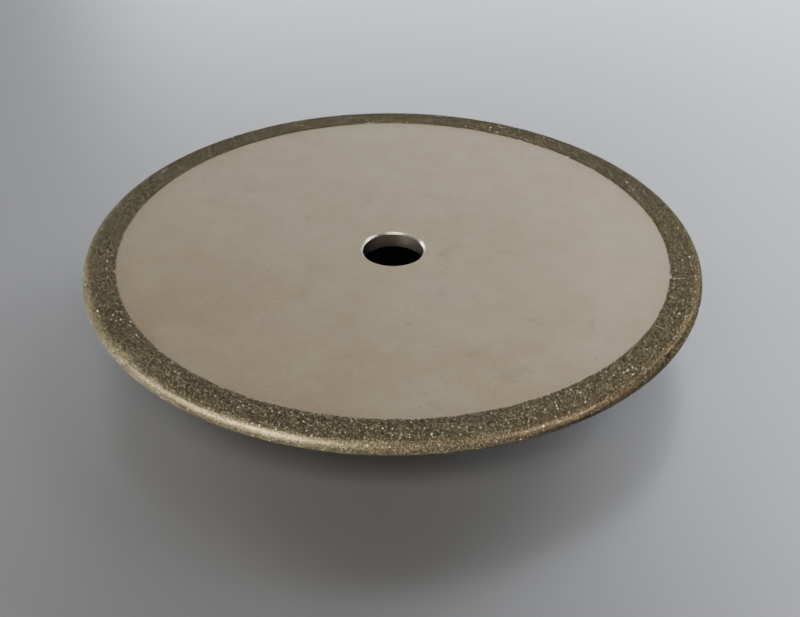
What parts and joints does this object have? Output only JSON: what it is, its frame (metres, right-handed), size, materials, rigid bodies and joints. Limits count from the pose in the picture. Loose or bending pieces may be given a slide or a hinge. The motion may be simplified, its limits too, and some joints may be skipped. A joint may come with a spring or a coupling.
{
  "type": "diamond grinding wheel",
  "caption": "Flat steel disc with a spindle bore and a full-round rim, plated with nickel that holds a single layer of diamond grit, for grinding and grooving stone, glass and ceramic.",
  "frame": {"origin": "centre of the bore, at mid-thickness", "axes": "+Z along the bore's axis; the wheel is the same on both faces and all the way round"},
  "size_m": [0.2, 0.2, 0.0062],
  "materials": {
    "core_steel": "matte, satin nickel flash over a turned face",
    "nickel_bond": "matte, nodular",
    "diamond_grit": "faceted crystals with sharp glints"
  },
  "bodies": {
    "root": {"steel_core": "core_steel", "nickel_bond": "nickel_bond", "grit_upper_band": "diamond_grit", "grit_nose": "diamond_grit", "grit_lower_band": "diamond_grit"}
  },
  "joints": []
}
